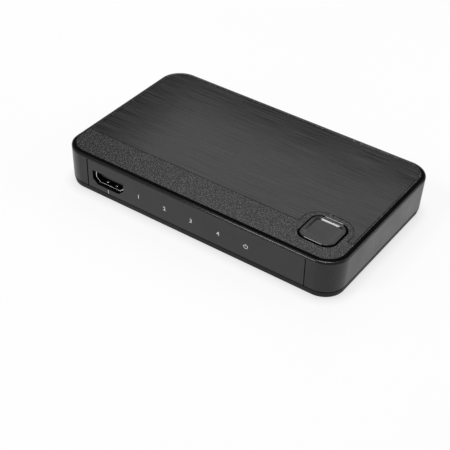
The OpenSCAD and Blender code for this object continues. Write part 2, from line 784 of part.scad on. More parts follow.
module indicator_leds() color("#dfe6ee") at_indicators() {
    dome_y = led_setback + led_diameter / 2;
    lead_spread = led_diameter / 2;
    translate([0, dome_y, indicator_height]) sphere(d = led_diameter);
    translate([0, dome_y, indicator_height]) bar_y(led_diameter, led_flange_y - dome_y + join);
    translate([0, led_flange_y, indicator_height]) bar_y(led_flange, led_flange_length);
    for (side = [-1, 1])
        translate([side * lead_spread / 2 - lead / 2, led_flange_y + led_flange_length - join, 0])
            lead_down(holder_depth - led_flange_y + lead, indicator_height + lead / 2);
}

// Remote receiver: a moulded body with a lens, on three leads behind the front panel
receiver_size = [5.6, 2.6, 6.4];
receiver_lens = 4;
receiver_lift = 0.6;
module ir_receiver() color("#161618")
    translate([3 * indicator_pitch, fit_gap * 2 - panel_back, board_top]) {
        body_y = receiver_lens / 2 - join;
        translate([0, body_y + receiver_size.y / 2, receiver_lift]) block(receiver_size);
        translate([0, receiver_lens / 2, receiver_lift + receiver_size.z / 2]) sphere(d = receiver_lens);
        for (k = [-1:1]) translate([k * receiver_size.x / 3, body_y + receiver_size.y / 2, 0])
            block([lead, lead, receiver_lift + join]);
    }

// Chip with a row of flat leads along two sides
module chip(size, pins, pitch) {
    lift = 0.1;
    foot = [lead * 0.6, lead * 1.6, 0.2];
    translate([0, 0, lift]) block(size);
    for (side = [0, 180], k = [0:pins - 1]) rotate(side)
        translate([(k - (pins - 1) / 2) * pitch, size.y / 2 + foot.y / 2 - join, 0]) {
            block(foot);
            translate([0, -foot.y / 4, 0]) block([foot.x, foot.y / 2, size.z / 2]);
        }
}

// Loose parts on the board, each placed by its share of the way from the middle to the board's edges
module on_board(share)
    translate([share.x * board_length / 2, share.y * board_depth / 2, board_top]) children();

module switch_chip() color("#1a1a1c") on_board([-0.15, 0]) {
    pad = [switch_chip_size.x / 2, switch_chip_size.y / 2, switch_chip_size.z / 4];
    block(pad);
    translate([0, 0, pad.z]) block(switch_chip_size);
}

module control_chip() color("#1a1a1c") on_board([0.33, -0.28])
    chip(control_chip_size, 10, control_chip_size.x / 10.6);

module audio_chip() color("#1a1a1c") on_board([0.44, 0.34])
    chip(audio_chip_size, 8, audio_chip_size.x / 8.6);

module regulator() color("#1d1d1f") on_board([0.7, 0.42])
    chip(regulator_size, 3, regulator_size.x / 3);

module inductor() color("#55565a") on_board([0.7, 0.06]) {
    ring = min(inductor_size.x, inductor_size.y) * 0.9;
    groove = inductor_size.z / 8;
    difference() {
        block(inductor_size);
        translate([0, 0, inductor_size.z - groove]) difference() {
            cylinder(d = ring, h = inductor_size.z);
            translate([0, 0, -groove]) cylinder(d = ring * 0.75, h = 2 * inductor_size.z);
        }
    }
}

module capacitors() color("#9fa2a8") for (share = [[0.55, -0.03], [0.55, 0.14], [-0.62, 0.22]])
    on_board(share) {
        foot = capacitor_height / 8;
        block([capacitor_diameter * 1.04, capacitor_diameter * 1.04, foot]);
        translate([0, 0, foot / 2]) cylinder(d = capacitor_diameter, h = capacitor_height - foot / 2);
    }

module crystal() color("#c6c7ca") on_board([0.07, -0.4]) {
    rim = crystal_size.y / 10;
    base = crystal_size.z / 6;
    linear_extrude(base)
        rounded(crystal_size.x + 2 * rim, crystal_size.y + 2 * rim, crystal_size.y / 2);
    translate([0, 0, base / 2]) linear_extrude(crystal_size.z - base / 2)
        rounded(crystal_size.x, crystal_size.y, crystal_size.y / 2 - rim);
}

top_cover();
top_inlay();
wall_frame();
bottom_cover();
front_panel();
rear_panel();
rubber_feet();
case_screws();
board_screws();
circuit_board();
select_button();
switch_body();
switch_cover();
switch_plunger();
video_shell(0);  // video_in_1_shell
video_shell(1);  // video_in_2_shell
video_shell(2);  // video_in_3_shell
video_shell(3);  // video_in_4_shell
video_shell(4);  // video_out_shell
video_insulator(0);  // video_in_1_insulator
video_insulator(1);  // video_in_2_insulator
video_insulator(2);  // video_in_3_insulator
video_insulator(3);  // video_in_4_insulator
video_insulator(4);  // video_out_insulator
video_contacts(0);  // video_in_1_contacts
video_contacts(1);  // video_in_2_contacts
video_contacts(2);  // video_in_3_contacts
video_contacts(3);  // video_in_4_contacts
video_contacts(4);  // video_out_contacts
optical_housing();
optical_shutter();
optical_emitter();
audio_jack_body();
audio_jack_contacts();
power_jack_body();
power_jack_pin();
power_jack_spring();
indicator_leds();
led_holders();
ir_receiver();
switch_chip();
control_chip();
audio_chip();
regulator();
inductor();
capacitors();
crystal();
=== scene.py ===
import math

import bmesh
import bpy
from mathutils import Matrix, Vector


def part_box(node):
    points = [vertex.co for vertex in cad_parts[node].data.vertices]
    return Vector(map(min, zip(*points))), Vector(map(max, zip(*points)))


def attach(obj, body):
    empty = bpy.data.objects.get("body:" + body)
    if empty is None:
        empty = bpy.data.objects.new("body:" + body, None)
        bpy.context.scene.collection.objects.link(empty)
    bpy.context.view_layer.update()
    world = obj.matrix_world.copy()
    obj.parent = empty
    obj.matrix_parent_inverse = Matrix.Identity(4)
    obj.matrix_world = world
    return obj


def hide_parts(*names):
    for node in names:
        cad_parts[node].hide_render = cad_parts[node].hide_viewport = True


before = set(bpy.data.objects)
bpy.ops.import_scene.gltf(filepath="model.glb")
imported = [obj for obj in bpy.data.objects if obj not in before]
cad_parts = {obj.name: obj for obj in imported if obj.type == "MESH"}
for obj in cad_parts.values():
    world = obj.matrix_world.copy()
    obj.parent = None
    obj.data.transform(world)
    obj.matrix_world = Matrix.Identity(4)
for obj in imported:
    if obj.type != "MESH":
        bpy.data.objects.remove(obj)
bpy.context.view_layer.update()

# Bottom cover: a shallow tray moulded in black ABS, with a fine spark-eroded grain outside.
# Its side leans in towards the feet. Four screws go up through it into the lid's posts.
MM = 0.001
tray_low, tray_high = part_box("bottom_cover")
wall_low, wall_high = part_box("wall_frame")
case_length = wall_high.x - wall_low.x
case_depth = wall_high.y - wall_low.y
corner_radius = 9.8 * MM
wall_lean = wall_high.x - tray_high.x
wall_inset = 2.4 * MM + wall_lean
tray_lean = 0.55 * MM
tray_recess = 0.6 * MM
seam_z = wall_low.z
tray_z = tray_low.z
CORNER_STEPS = 20


def rounded_loop(length, depth, radius, stops=(), centre=(0, 0)):
    """Rounded rectangle, anticlockwise from the front right, with extra points at each stop."""
    loop = []
    for turn, (sx, sy) in enumerate(((1, -1), (1, 1), (-1, 1), (-1, -1))):
        for step in range(CORNER_STEPS + 1):
            angle = math.radians(90 * (turn - 1) + 90 * step / CORNER_STEPS)
            loop.append((centre[0] + sx * (length / 2 - radius) + radius * math.cos(angle),
                         centre[1] + sy * (depth / 2 - radius) + radius * math.sin(angle)))
        if turn in (1, 3):
            loop += [(x, centre[1] + sy * depth / 2) for x in sorted(stops, reverse=turn == 1)]
    return loop


def inset_loop(inset, stops=()):
    """The case's outline, pulled in all round."""
    return rounded_loop(case_length - 2 * inset, case_depth - 2 * inset, corner_radius - inset, stops)


def circle_loop(centre, radius, steps=48):
    """Points round a circle, anticlockwise."""
    return [(centre[0] + radius * math.cos(2 * math.pi * k / steps),
             centre[1] + radius * math.sin(2 * math.pi * k / steps)) for k in range(steps)]


def add_ring(shape, loop, z):
    """Corners of a loop, all at one height."""
    return [shape.verts.new((x, y, z)) for x, y in loop]


def bridge(shape, low, high, skip=(), finish=0):
    """Wall between two rings of equal count, facing out when low lies below high."""
    count = len(low)
    for i in range(count):
        if i not in skip:
            j = (i + 1) % count
            shape.faces.new((low[i], low[j], high[j], high[i])).material_index = finish


def add_plate(shape, loops, z0, z1, finish=0):
    """Flat plate between two heights: the first loop is its edge and the others are its holes."""
    curve = bpy.data.curves.new("plate_outline", "CURVE")
    curve.dimensions = "2D"
    curve.fill_mode = "BOTH"
    curve.extrude = (z1 - z0) / 2
    for loop in loops:
        spline = curve.splines.new("POLY")
        spline.points.add(len(loop) - 1)
        for point, (x, y) in zip(spline.points, loop):
            point.co = (x, y, 0, 1)
        spline.use_cyclic_u = True
    drawn = bpy.data.objects.new("plate_outline", curve)
    bpy.context.collection.objects.link(drawn)
    mesh = drawn.evaluated_get(bpy.context.evaluated_depsgraph_get()).to_mesh()
    plate = bmesh.new()
    plate.from_mesh(mesh)
    bmesh.ops.translate(plate, verts=plate.verts, vec=(0, 0, (z0 + z1) / 2))
    bmesh.ops.remove_doubles(plate, verts=plate.verts, dist=1e-7)
    for face in plate.faces:
        face.material_index = finish
    plate_mesh = bpy.data.meshes.new("plate")
    plate.to_mesh(plate_mesh)
    plate.free()
    shape.from_mesh(plate_mesh)
    bpy.data.meshes.remove(plate_mesh)
    bpy.data.objects.remove(drawn)
    bpy.data.curves.remove(curve)


def make_piece(name, shape, finishes, edge, angle=35):
    """Object from a drawn shape, with its sharp edges softened as a moulding's are."""
    bmesh.ops.recalc_face_normals(shape, faces=shape.faces)
    mesh = bpy.data.meshes.new(name)
    shape.to_mesh(mesh)
    shape.free()
    for finish in finishes:
        mesh.materials.append(finish)
    mesh.polygons.foreach_set("use_smooth", [True] * len(mesh.polygons))
    piece = bpy.data.objects.new(name, mesh)
    bpy.context.collection.objects.link(piece)
    soften = piece.modifiers.new("soft_edges", "BEVEL")
    soften.width = edge
    soften.segments = 2
    soften.limit_method = "ANGLE"
    soften.angle_limit = math.radians(angle)
    shading = piece.modifiers.new("even_shading", "WEIGHTED_NORMAL")
    shading.keep_sharp = True
    shading.weight = 80
    return piece


def new_finish(name, colour, roughness):
    """Empty node material with one plastic or metal surface, ready for its detail."""
    finish = bpy.data.materials.new(name)
    finish.use_nodes = True
    nodes = finish.node_tree.nodes
    surface = nodes["Principled BSDF"]
    surface.inputs["Base Color"].default_value = (*colour, 1)
    surface.inputs["Roughness"].default_value = roughness
    place = nodes.new("ShaderNodeTexCoord")
    return finish, surface, place.outputs["Object"]


def add_noise(finish, place, scale, detail=2.0):
    """Cloudy pattern for a finish, with so many clouds to the metre."""
    noise = finish.node_tree.nodes.new("ShaderNodeTexNoise")
    noise.inputs["Scale"].default_value = scale
    noise.inputs["Detail"].default_value = detail
    finish.node_tree.links.new(place, noise.inputs["Vector"])
    return noise.outputs["Fac"]


def colour_by(finish, amount, surface, dark, light, low=0.35, high=0.65):
    """Base colour that goes from dark to light with a pattern."""
    ramp = finish.node_tree.nodes.new("ShaderNodeValToRGB")
    ramp.color_ramp.elements[0].position = low
    ramp.color_ramp.elements[0].color = (*dark, 1)
    ramp.color_ramp.elements[1].position = high
    ramp.color_ramp.elements[1].color = (*light, 1)
    finish.node_tree.links.new(amount, ramp.inputs["Fac"])
    finish.node_tree.links.new(ramp.outputs["Color"], surface.inputs["Base Color"])


def roughness_by(finish, amount, surface, low, high):
    """Roughness that goes from low to high with a pattern."""
    spread = finish.node_tree.nodes.new("ShaderNodeMapRange")
    spread.inputs["From Min"].default_value = 0.3
    spread.inputs["From Max"].default_value = 0.7
    spread.inputs["To Min"].default_value = low
    spread.inputs["To Max"].default_value = high
    finish.node_tree.links.new(amount, spread.inputs["Value"])
    finish.node_tree.links.new(spread.outputs["Result"], surface.inputs["Roughness"])


def bump_by(finish, amount, surface, depth):
    """Relief of a pattern, as deep as it is on the real surface."""
    bump = finish.node_tree.nodes.new("ShaderNodeBump")
    bump.inputs["Distance"].default_value = depth
    finish.node_tree.links.new(amount, bump.inputs["Height"])
    finish.node_tree.links.new(bump.outputs["Normal"], surface.inputs["Normal"])


def sparked_plastic(name, dark, light, grain, depth, rough):
    """Moulded plastic from a spark-eroded tool: fine pits, and gloss that drifts a little over the part."""
    finish, surface, place = new_finish(name, dark, rough)
    pits = add_noise(finish, place, 1 / grain, 1.0)
    colour_by(finish, pits, surface, dark, light, 0.46, 0.7)
    drift = add_noise(finish, place, 60, 3.0)
    roughness_by(finish, drift, surface, rough - 0.05, rough + 0.06)
    bump_by(finish, pits, surface, depth)
    return finish


feet_low, feet_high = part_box("rubber_feet")
screws_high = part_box("case_screws")[1]
foot_radius = 5 * MM
foot_centres = [(sx * (feet_high.x - foot_radius), sy * (feet_high.y - foot_radius))
                for sx in (-1, 1) for sy in (-1, 1)]
head_radius = 2.5 * MM
screw_centres = [(sx * (screws_high.x - head_radius), sy * (screws_high.y - head_radius))
                 for sx in (-1, 1) for sy in (-1, 1)]

tray_grain = sparked_plastic("tray_grain", (0.022, 0.022, 0.022), (0.032, 0.032, 0.032),
                             0.25 * MM, 0.01 * MM, 0.45)
tray_grain.node_tree.nodes["Principled BSDF"].inputs["Specular IOR Level"].default_value = 0.06
seam_gap = 0.2 * MM
seam_reach = 0.9 * MM
seam_ease = 0.08 * MM
tray_floor = (seam_z - tray_z - tray_recess) / 2
tray = bmesh.new()
tray_profile = [(wall_inset, tray_z + tray_recess), (wall_lean + tray_lean, tray_z),
                (wall_lean, seam_z - seam_ease), (wall_lean + seam_reach, seam_z - seam_ease),
                (wall_lean + seam_reach, seam_z + seam_gap), (wall_inset, seam_z + seam_gap),
                (wall_inset, tray_z + tray_recess + tray_floor)]
tray_rings = [add_ring(tray, inset_loop(inset), z) for inset, z in tray_profile]
for lower, upper in zip(tray_rings, tray_rings[1:]):
    bridge(tray, lower, upper)
tray.faces.new(tray_rings[0])
tray.faces.new(tray_rings[-1])
tray_piece = make_piece("bottom_tray", tray, [tray_grain], 0.13 * MM)
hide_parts("bottom_cover")
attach(tray_piece, "case")

underside_inset = wall_lean + tray_lean + 0.25 * MM
foot_gap = 0.15 * MM
head_gap = 0.2 * MM
underside = bmesh.new()
add_plate(underside, [inset_loop(underside_inset)]
          + [circle_loop(centre, foot_radius + foot_gap) for centre in foot_centres]
          + [circle_loop(centre, head_radius + head_gap) for centre in screw_centres],
          tray_z, tray_z + tray_recess)
underside_piece = make_piece("tray_underside", underside, [tray_grain], 0.08 * MM)
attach(underside_piece, "case")

# Rubber feet: round black discs with a rounded lower edge, glued into shallow recesses.
# They are cut from matte rubber, which shows a soft mottle and a little dust.
rubber, rubber_surface, rubber_place = new_finish("foot_rubber", (0.02, 0.02, 0.02), 0.8)
mottle = add_noise(rubber, rubber_place, 900, 4.0)
colour_by(rubber, mottle, rubber_surface, (0.016, 0.016, 0.016), (0.034, 0.033, 0.032))
roughness_by(rubber, mottle, rubber_surface, 0.7, 0.9)
bump_by(rubber, mottle, rubber_surface, 0.03 * MM)
foot_round = 0.3 * MM
tread_inset = 1.3 * MM
dish_inset = 2 * MM
dish_depth = 0.12 * MM
feet = bmesh.new()
for centre in foot_centres:
    tread = add_ring(feet, circle_loop(centre, foot_radius - tread_inset), feet_low.z)
    turn_in = add_ring(feet, circle_loop(centre, foot_radius - foot_round), feet_low.z)
    side = add_ring(feet, circle_loop(centre, foot_radius), feet_low.z + foot_round)
    top = add_ring(feet, circle_loop(centre, foot_radius), feet_high.z)
    dish = add_ring(feet, circle_loop(centre, foot_radius - dish_inset), feet_low.z + dish_depth)
    bridge(feet, side, top)
    bridge(feet, turn_in, side)
    bridge(feet, tread, turn_in)
    bridge(feet, dish, tread)
    feet.faces.new(dish)
    feet.faces.new(top)
feet_piece = make_piece("feet", feet, [rubber], 0.08 * MM)
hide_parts("rubber_feet")
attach(feet_piece, "case")

# Screws: zinc-plated steel, cross-headed. Four hold the case and four hold the board.
# Turning marks run round the heads, and the plating is slightly uneven.
zinc, zinc_surface, zinc_place = new_finish("screw_zinc", (0.55, 0.55, 0.57), 0.35)
zinc_surface.inputs["Metallic"].default_value = 1.0
zinc_tone = add_noise(zinc, zinc_place, 1500, 3.0)
colour_by(zinc, zinc_tone, zinc_surface, (0.42, 0.42, 0.43), (0.62, 0.62, 0.65))
roughness_by(zinc, zinc_tone, zinc_surface, 0.25, 0.5)
bump_by(zinc, zinc_tone, zinc_surface, 0.01 * MM)


def finish_nodes(names, finish, edge=0):
    """Solids that stay as they are drawn: they take a finish, and edges soft enough to catch light."""
    for name in names:
        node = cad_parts[name]
        node.data.materials.clear()
        node.data.materials.append(finish)
        if edge:
            weld = node.modifiers.new("weld", "WELD")
            weld.merge_threshold = 1e-6
            soften = node.modifiers.new("soft_edges", "BEVEL")
            soften.width = edge
            soften.segments = 2
            soften.limit_method = "ANGLE"
            soften.angle_limit = math.radians(40)


finish_nodes(["case_screws", "board_screws"], zinc)

# Circuit board: green solder mask on glass laminate, with copper tracks showing through as paler green.
# It lies on four bosses of the bottom cover and carries everything electrical.
mask, mask_surface, mask_place = new_finish("solder_mask", (0.01, 0.09, 0.03), 0.3)
tracks = mask.node_tree.nodes.new("ShaderNodeTexBrick")
tracks.inputs["Scale"].default_value = 160
tracks.inputs["Color1"].default_value = (0.008, 0.075, 0.026, 1)
tracks.inputs["Color2"].default_value = (0.012, 0.10, 0.036, 1)
tracks.inputs["Mortar"].default_value = (0.02, 0.15, 0.055, 1)
mask.node_tree.links.new(mask_place, tracks.inputs["Vector"])
mask.node_tree.links.new(tracks.outputs["Color"], mask_surface.inputs["Base Color"])
bump_by(mask, tracks.outputs["Fac"], mask_surface, 0.02 * MM)
finish_nodes(["circuit_board"], mask)

# Board parts: moulded chips, a pressed coil, drawn cans, and clear lamps in black holders.
# The push switch has a moulded body under a tinned cover.
resin = sparked_plastic("chip_resin", (0.018, 0.018, 0.019), (0.03, 0.03, 0.032),
                        0.1 * MM, 0.004 * MM, 0.55)
finish_nodes(["switch_chip", "control_chip", "audio_chip", "regulator"], resin)
ferrite = sparked_plastic("pressed_powder", (0.10, 0.10, 0.105), (0.16, 0.16, 0.165),
                          0.15 * MM, 0.01 * MM, 0.7)
finish_nodes(["inductor"], ferrite)
can, can_surface, can_place = new_finish("drawn_can", (0.6, 0.61, 0.63), 0.3)
can_surface.inputs["Metallic"].default_value = 1.0
can_tone = add_noise(can, can_place, 700, 3.0)
colour_by(can, can_tone, can_surface, (0.5, 0.51, 0.53), (0.66, 0.67, 0.69))
roughness_by(can, can_tone, can_surface, 0.2, 0.4)
finish_nodes(["capacitors", "crystal"], can)
jack_black = sparked_plastic("jack_black", (0.014, 0.014, 0.015), (0.022, 0.022, 0.023),
                             0.12 * MM, 0.004 * MM, 0.38)
finish_nodes(["led_holders", "switch_body", "switch_plunger"], jack_black)
dark_resin = sparked_plastic("dark_resin", (0.03, 0.016, 0.018), (0.04, 0.022, 0.025),
                             0.5 * MM, 0.002 * MM, 0.15)
finish_nodes(["ir_receiver", "optical_emitter"], dark_resin)
lamp, lamp_surface, lamp_place = new_finish("lamp_resin", (0.85, 0.88, 0.9), 0.08)
lamp_surface.inputs["Transmission Weight"].default_value = 0.8
lamp_tone = add_noise(lamp, lamp_place, 500, 1.0)
colour_by(lamp, lamp_tone, lamp_surface, (0.8, 0.83, 0.86), (0.9, 0.92, 0.94))
roughness_by(lamp, lamp_tone, lamp_surface, 0.05, 0.12)
finish_nodes(["indicator_leds"], lamp)

# Video sockets: shells folded from nickel-plated steel, open at the mouth with a rolled lip.
# Springs pressed out of the floor and roof grip the plug, and a black tongue carries gold contacts.
nickel, nickel_surface, nickel_place = new_finish("nickel_plate", (0.75, 0.75, 0.75), 0.25)
nickel_surface.inputs["Metallic"].default_value = 1.0
nickel_tone = add_noise(nickel, nickel_place, 1200, 3.0)
colour_by(nickel, nickel_tone, nickel_surface, (0.68, 0.68, 0.68), (0.82, 0.82, 0.82))
roughness_by(nickel, nickel_tone, nickel_surface, 0.08, 0.2)
bump_by(nickel, nickel_tone, nickel_surface, 0.002 * MM)
# Painted shade: the shell's inside walls take this much darker steel. It stands in for the light that fades
# deep inside the socket.
painted_shade_steel, painted_shade_surface, painted_shade_place = new_finish("painted_shade_steel", (0.1, 0.1, 0.1), 0.3)
painted_shade_surface.inputs["Metallic"].default_value = 1.0
painted_shade_tone = add_noise(painted_shade_steel, painted_shade_place, 900, 3.0)
colour_by(painted_shade_steel, painted_shade_tone, painted_shade_surface, (0.07, 0.07, 0.07), (0.13, 0.13, 0.13))
roughness_by(painted_shade_steel, painted_shade_tone, painted_shade_surface, 0.15, 0.3)
video_ports = ("video_in_1", "video_in_2", "video_in_3", "video_in_4", "video_out")
shell_wall = 0.3 * MM
fold_radius = 0.2 * MM
spring_half = 0.5 * MM
spring_sheet = 0.14
spring_spread = 2.35 * MM
socket_width = 14 * MM
socket_height = 4.55 * MM
socket_cut = (1.95 * MM, 1.75 * MM)
socket_depth = 11.9 * MM
lip_reach = 0.48 * MM
lip_profile = [(0, socket_depth), (0, 0.3 * MM), (0.06 * MM, 0.06 * MM), (0.14 * MM, 0), (0.4 * MM, 0),
               (lip_reach, 0.08 * MM), (lip_reach, 0.5 * MM),
               (shell_wall, 0.62 * MM), (shell_wall, socket_depth)]


def socket_outline(grow, corner):
    """Opening of a socket in X and height, grown all round, with its six corners rounded."""
    slope = math.atan2(socket_cut[1], socket_cut[0])
    half = socket_width / 2 + grow
    top = shell_wall + socket_height + grow
    side = shell_wall + socket_cut[1] - grow * math.tan((math.pi / 2 - slope) / 2)
    flat = socket_width / 2 - socket_cut[0] + grow * math.tan(slope / 2)
    low = shell_wall - grow
    ends = ((half, side), (half, top), (-half, top), (-half, side), (-flat, low), (flat, low))
    points = [Vector(end) for end in ends]
    loop = []
    for i, point in enumerate(points):
        before = (points[i - 1] - point).normalized()
        after = (points[(i + 1) % len(points)] - point).normalized()
        for k in range(5):
            t = k / 4
            loop.append(tuple(point + corner * ((1 - t) ** 2 * before + t ** 2 * after)))
    return loop


def spring(shape, x, z, up):
    """Pressed spring: a narrow arched strip on the shell's floor or roof."""
    spine = [(1.2, 0.0), (2.0, 0.42), (3.0, 0.6), (4.2, 0.45), (6.4, 0.16), (8.6, 0.0)]
    rows = []
    for y, rise in spine:
        for lift in (rise, rise + spring_sheet):
            rows.append([shape.verts.new((x + side * spring_half, y * MM, z + up * lift * MM))
                         for side in (-1, 1)])
    for k in range(len(spine) - 1):
        a, b, c, d = rows[2 * k], rows[2 * k + 1], rows[2 * k + 2], rows[2 * k + 3]
        shape.faces.new((a[0], a[1], c[1], c[0]))
        shape.faces.new((b[0], d[0], d[1], b[1]))
        shape.faces.new((a[0], c[0], d[0], b[0]))
        shape.faces.new((a[1], b[1], d[1], c[1]))
    shape.faces.new((rows[0][0], rows[1][0], rows[1][1], rows[0][1]))
    shape.faces.new((rows[-2][0], rows[-2][1], rows[-1][1], rows[-1][0]))


for port in video_ports:
    port_low, port_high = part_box(port + "_shell")
    front = port_low.y < 0
    shell = bmesh.new()
    rings = []
    for grow, y in lip_profile:
        rings.append([shell.verts.new((x, y, z)) for x, z in socket_outline(grow, fold_radius + grow / 3)])
    # The first band, the shell's inside wall, takes the darker steel of painted shade.
    for k in range(len(rings)):
        bridge(shell, rings[k], rings[(k + 1) % len(rings)], finish=1 if k == 0 else 0)
    for x in (-spring_spread, spring_spread):
        spring(shell, x, shell_wall, 1)
        spring(shell, x, shell_wall + socket_height, -1)
    middle = (port_low.x + port_high.x) / 2
    mouth = port_low.y if front else port_high.y
    turn = Matrix.Rotation(0 if front else math.pi, 4, "Z")
    seat = Matrix.Translation((middle, mouth, port_low.z)) @ turn
    bmesh.ops.transform(shell, matrix=seat, verts=shell.verts)
    shell_piece = make_piece(port + "_shell_folded", shell, [nickel, painted_shade_steel], 0.04 * MM, 60)
    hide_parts(port + "_shell")
    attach(shell_piece, "case")

finish_nodes([port + "_insulator" for port in video_ports], jack_black)
gold, gold_surface, gold_place = new_finish("contact_gold", (0.72, 0.5, 0.18), 0.25)
gold_surface.inputs["Metallic"].default_value = 1.0
gold_tone = add_noise(gold, gold_place, 3000, 2.0)
colour_by(gold, gold_tone, gold_surface, (0.62, 0.42, 0.14), (0.78, 0.56, 0.22))
roughness_by(gold, gold_tone, gold_surface, 0.18, 0.35)
finish_nodes([port + "_contacts" for port in video_ports], gold)
finish_nodes(["switch_cover", "audio_jack_contacts", "power_jack_pin", "power_jack_spring"], nickel)

# Audio and power jacks: black mouldings soldered to the rear of the board.
# The optical jack has a sprung shutter that swings in when a plug is pushed home.
finish_nodes(["optical_housing", "audio_jack_body", "power_jack_body"], jack_black, 0.15 * MM)
shutter_grey = sparked_plastic("shutter_grey", (0.03, 0.03, 0.032), (0.042, 0.042, 0.045),
                               0.15 * MM, 0.004 * MM, 0.4)
finish_nodes(["optical_shutter"], shutter_grey, 0.12 * MM)

# Wall ring: the four walls in one moulding, open at the front and rear for the two panels.
# It stands on the bottom cover, leans in a little on the way down, and has the same fine grain.
case_grain = sparked_plastic("case_grain", (0.010, 0.010, 0.010), (0.017, 0.017, 0.017),
                             0.25 * MM, 0.008 * MM, 0.3)
case_grain.node_tree.nodes["Principled BSDF"].inputs["Specular IOR Level"].default_value = 0.34
panel_low, panel_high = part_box("front_panel")
window_half = 52 * MM
window_gap = 0.15 * MM
window_top = panel_high.z + window_gap
stops = (-window_half, window_half)
rear_window = 2 * (CORNER_STEPS + 1)
front_window = 4 * (CORNER_STEPS + 1) + 2
openings = (rear_window, front_window)
lean_at_window = wall_lean * (wall_high.z - window_top) / (wall_high.z - seam_z)
wall_foot = seam_z + seam_gap
lid_gap = 0.15 * MM
wall_head = wall_high.z - lid_gap
walls = bmesh.new()
outer = [add_ring(walls, inset_loop(inset, stops), z) for inset, z in
         ((wall_lean, wall_foot), (lean_at_window, window_top), (0, wall_head))]
inner = [add_ring(walls, inset_loop(wall_inset, stops), z) for z in (wall_foot, window_top, wall_head)]
bridge(walls, outer[0], outer[1], openings)
bridge(walls, outer[1], outer[2])
bridge(walls, outer[2], inner[2])
bridge(walls, inner[2], inner[1])
bridge(walls, inner[1], inner[0], openings)
bridge(walls, inner[0], outer[0], openings)
for first in openings:
    last = first + 1
    walls.faces.new((outer[1][first], outer[1][last], inner[1][last], inner[1][first]))
    for jamb in (first, last):
        walls.faces.new((outer[0][jamb], outer[1][jamb], inner[1][jamb], inner[0][jamb]))
walls_piece = make_piece("wall_ring", walls, [case_grain], 0.16 * MM)
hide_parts("wall_frame")
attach(walls_piece, "case")

# Front panel: a strip of polished smoked plastic that slides into grooves in the walls.
# One video socket looks out at its left end, and it stays clean apart from faint polishing haze.
smoke, smoke_surface, smoke_place = new_finish("smoked_gloss", (0.006, 0.006, 0.007), 0.06)
haze = add_noise(smoke, smoke_place, 120, 4.0)
colour_by(smoke, haze, smoke_surface, (0.005, 0.005, 0.006), (0.009, 0.009, 0.010))
roughness_by(smoke, haze, smoke_surface, 0.03, 0.09)
bump_by(smoke, add_noise(smoke, smoke_place, 45, 1.0), smoke_surface, 0.01 * MM)
smoke_surface.inputs["Specular IOR Level"].default_value = 0.45
UPRIGHT = Matrix.Rotation(math.pi / 2, 4, "X")
cutout_gap = 0.25 * MM
socket_gap = 0.6 * MM
cutout_corner = 0.5 * MM
frame_width = 1 * MM
cut_edge = sparked_plastic("cut_edge", (0.003, 0.003, 0.003), (0.006, 0.006, 0.006),
                           0.2 * MM, 0.01 * MM, 0.5)
cut_edge.node_tree.nodes["Principled BSDF"].inputs["Specular IOR Level"].default_value = 0.08


def panel_outline(low, high):
    """Four corners of a panel in X and height."""
    return [(low.x, low.z), (high.x, low.z), (high.x, high.z), (low.x, high.z)]


def socket_cutout(port):
    """Cut-out round a video socket, in X and height."""
    low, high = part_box(port + "_shell")
    middle = (low.x + high.x) / 2
    return [(middle + x, low.z + z) for x, z in socket_outline(shell_wall + socket_gap, cutout_corner)]


panel_recess = 0.12 * MM
panel_slot = 0.38 * MM
panel_lean = math.atan2(wall_lean, wall_high.z - seam_z)


def panel_face(z):
    """Y of the front panel's face, which leans with the walls."""
    return wall_low.y + panel_recess + (wall_high.z - z) * math.tan(panel_lean)


shown_low = Vector((-window_half + panel_slot, panel_low.y, panel_low.z))
shown_high = Vector((window_half - panel_slot, panel_high.y, panel_high.z))
front_strip = bmesh.new()
add_plate(front_strip, [panel_outline(shown_low, shown_high), socket_cutout("video_in_1")],
          -panel_high.y, -panel_low.y)
bmesh.ops.transform(front_strip, matrix=UPRIGHT, verts=front_strip.verts)
for vert in front_strip.verts:
    if vert.co.y < (panel_low.y + panel_high.y) / 2:
        vert.co.y = panel_face(vert.co.z)
front_strip.normal_update()
for face in front_strip.faces:
    spot = face.calc_center_median()
    between_ends = abs(spot.x) < window_half - frame_width
    between_edges = panel_low.z + frame_width < spot.z < panel_high.z - frame_width
    if between_ends and between_edges and abs(face.normal.y) < 0.5:
        face.material_index = 1
front_piece = make_piece("front_strip", front_strip, [smoke, cut_edge], 0.06 * MM)
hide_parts("front_panel")
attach(front_piece, "case")

# Rear panel: a plain black strip in the same grooves, with a cut-out for each jack.
# It is moulded with the case's grain, a shade darker.
rear_grain = sparked_plastic("rear_grain", (0.02, 0.02, 0.021), (0.03, 0.03, 0.031),
                             0.22 * MM, 0.01 * MM, 0.45)
rear_low, rear_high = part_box("rear_panel")


def box_cutout(node):
    """Cut-out round a square jack, in X and height."""
    low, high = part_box(node)
    gap = cutout_gap
    return [(low.x - gap, low.z - gap), (high.x + gap, low.z - gap),
            (high.x + gap, high.z + gap), (low.x - gap, high.z + gap)]


audio_low, audio_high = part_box("audio_jack_body")
audio_axis = ((audio_low.x + audio_high.x) / 2, (audio_low.z + audio_high.z) / 2)
audio_collar = 3.2 * MM
rear_strip = bmesh.new()
add_plate(rear_strip, [panel_outline(rear_low, rear_high)]
          + [socket_cutout(port) for port in video_ports[1:]]
          + [box_cutout("optical_housing"), box_cutout("power_jack_body"),
             circle_loop(audio_axis, audio_collar + cutout_gap)],
          -rear_high.y, -rear_low.y)
bmesh.ops.transform(rear_strip, matrix=UPRIGHT, verts=rear_strip.verts)
rear_piece = make_piece("rear_strip", rear_strip, [rear_grain], 0.15 * MM)
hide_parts("rear_panel")
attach(rear_piece, "case")

